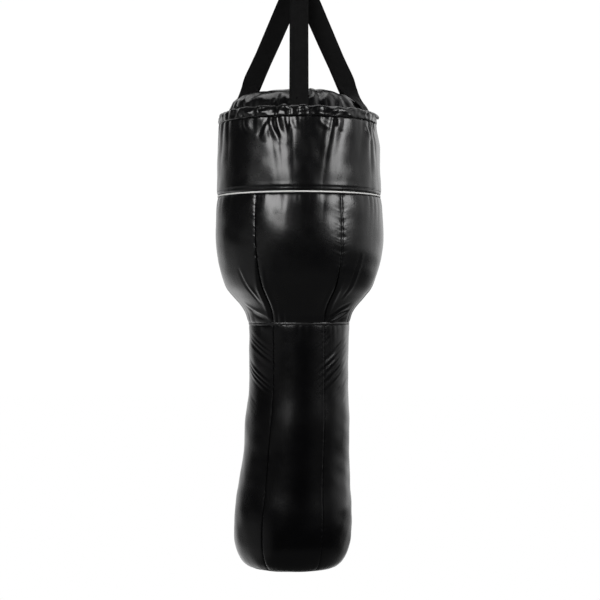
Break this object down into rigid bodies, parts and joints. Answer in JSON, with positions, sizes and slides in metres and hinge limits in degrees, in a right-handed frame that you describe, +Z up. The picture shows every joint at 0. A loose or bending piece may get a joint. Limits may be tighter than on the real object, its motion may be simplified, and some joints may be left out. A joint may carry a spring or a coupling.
{
  "type": "heavy punching bag",
  "caption": "Stuffed angle heavy bag, wide head on a narrow column, hung by webbing straps from a D-ring, snap hook and swivel eye for strike training.",
  "frame": {"origin": "centre of the hanging eye at the top of the swivel, which the bag hangs from", "axes": "+Z up along the hanging line; the front of the bag, between two seams of the head, faces -Y; +X is to the right seen from the front; the straight bar of the D-ring runs along X"},
  "size_m": [0.45, 0.4476, 1.814],
  "materials": {
    "black_leather": "gloss",
    "white_piping": "satin",
    "black_webbing": "matte",
    "black_thread": "matte",
    "canvas_lining": "matte",
    "black_tape": "matte",
    "zinc_zip": "satin",
    "grey_foam": "matte",
    "textile_fill": "matte",
    "plated_steel": "polished",
    "spring_steel": "satin"
  },
  "bodies": {
    "hanger": {"swivel_eye": "plated_steel"},
    "hook": {"hook_body": "plated_steel", "swivel_washer": "plated_steel", "gate_pin": "spring_steel"},
    "gate": {"hook_gate": "plated_steel", "gate_spring": "spring_steel"},
    "ring": {"d_ring": "plated_steel"},
    "bag": {"collar_cover": "black_leather", "collar_hem": "black_leather", "head_gore_1": "black_leather", "head_gore_2": "black_leather", "head_gore_3": "black_leather", "head_gore_4": "black_leather", "head_gore_5": "black_leather", "head_gore_6": "black_leather", "column_panel_1": "black_leather", "column_panel_2": "black_leather", "column_panel_3": "black_leather", "column_panel_4": "black_leather", "column_panel_5": "black_leather", "column_panel_6": "black_leather", "base_disc": "black_leather", "neck_binding": "black_leather", "lid_front": "black_leather", "lid_back": "black_leather", "collar_piping": "white_piping", "strap_front": "black_webbing", "strap_front_left": "black_webbing", "strap_front_right": "black_webbing", "strap_back_right": "black_webbing", "strap_back_left": "black_webbing", "strap_back": "black_webbing", "strap_loop": "black_webbing", "strap_keeper": "black_webbing", "box_stitch": "black_thread", "collar_lining": "canvas_lining", "zip_tape": "black_tape", "zip_chain": "zinc_zip", "foam_head": "grey_foam", "foam_column": "grey_foam", "foam_base": "grey_foam", "textile_fill": "textile_fill"},
    "slider": {"zip_slider": "zinc_zip"},
    "pull": {"zip_pull": "zinc_zip"}
  },
  "joints": [
    {"name": "swivel_turn", "type": "hinge", "parent": "hanger", "child": "hook", "pos_m": [0, 0, -0.0207], "axis": [0, 0, 1], "continuous": true},
    {"name": "gate_hinge", "type": "hinge", "parent": "hook", "child": "gate", "pos_m": [0, -0.016, -0.055], "axis": [1, 0, 0], "range_deg": [0, 30], "stiffness_Nm_per_rad": 0.05, "springref_deg": -28.65},
    {"name": "ring_swing", "type": "hinge", "parent": "hook", "child": "ring", "pos_m": [0, 0, -0.107], "axis": [0, 1, 0], "range_deg": [-40, 40]},
    {"name": "bag_swing", "type": "hinge", "parent": "ring", "child": "bag", "pos_m": [0, 0, -0.1362], "axis": [1, 0, 0], "range_deg": [-60, 60]},
    {"name": "zip_slide", "type": "slide", "parent": "bag", "child": "slider", "axis": [-1, 0, 0], "range_m": [0, 0.16]},
    {"name": "pull_flip", "type": "hinge", "parent": "slider", "child": "pull", "pos_m": [0.082, 0, -0.5226], "axis": [0, 1, 0], "range_deg": [0, 110]}
  ]
}
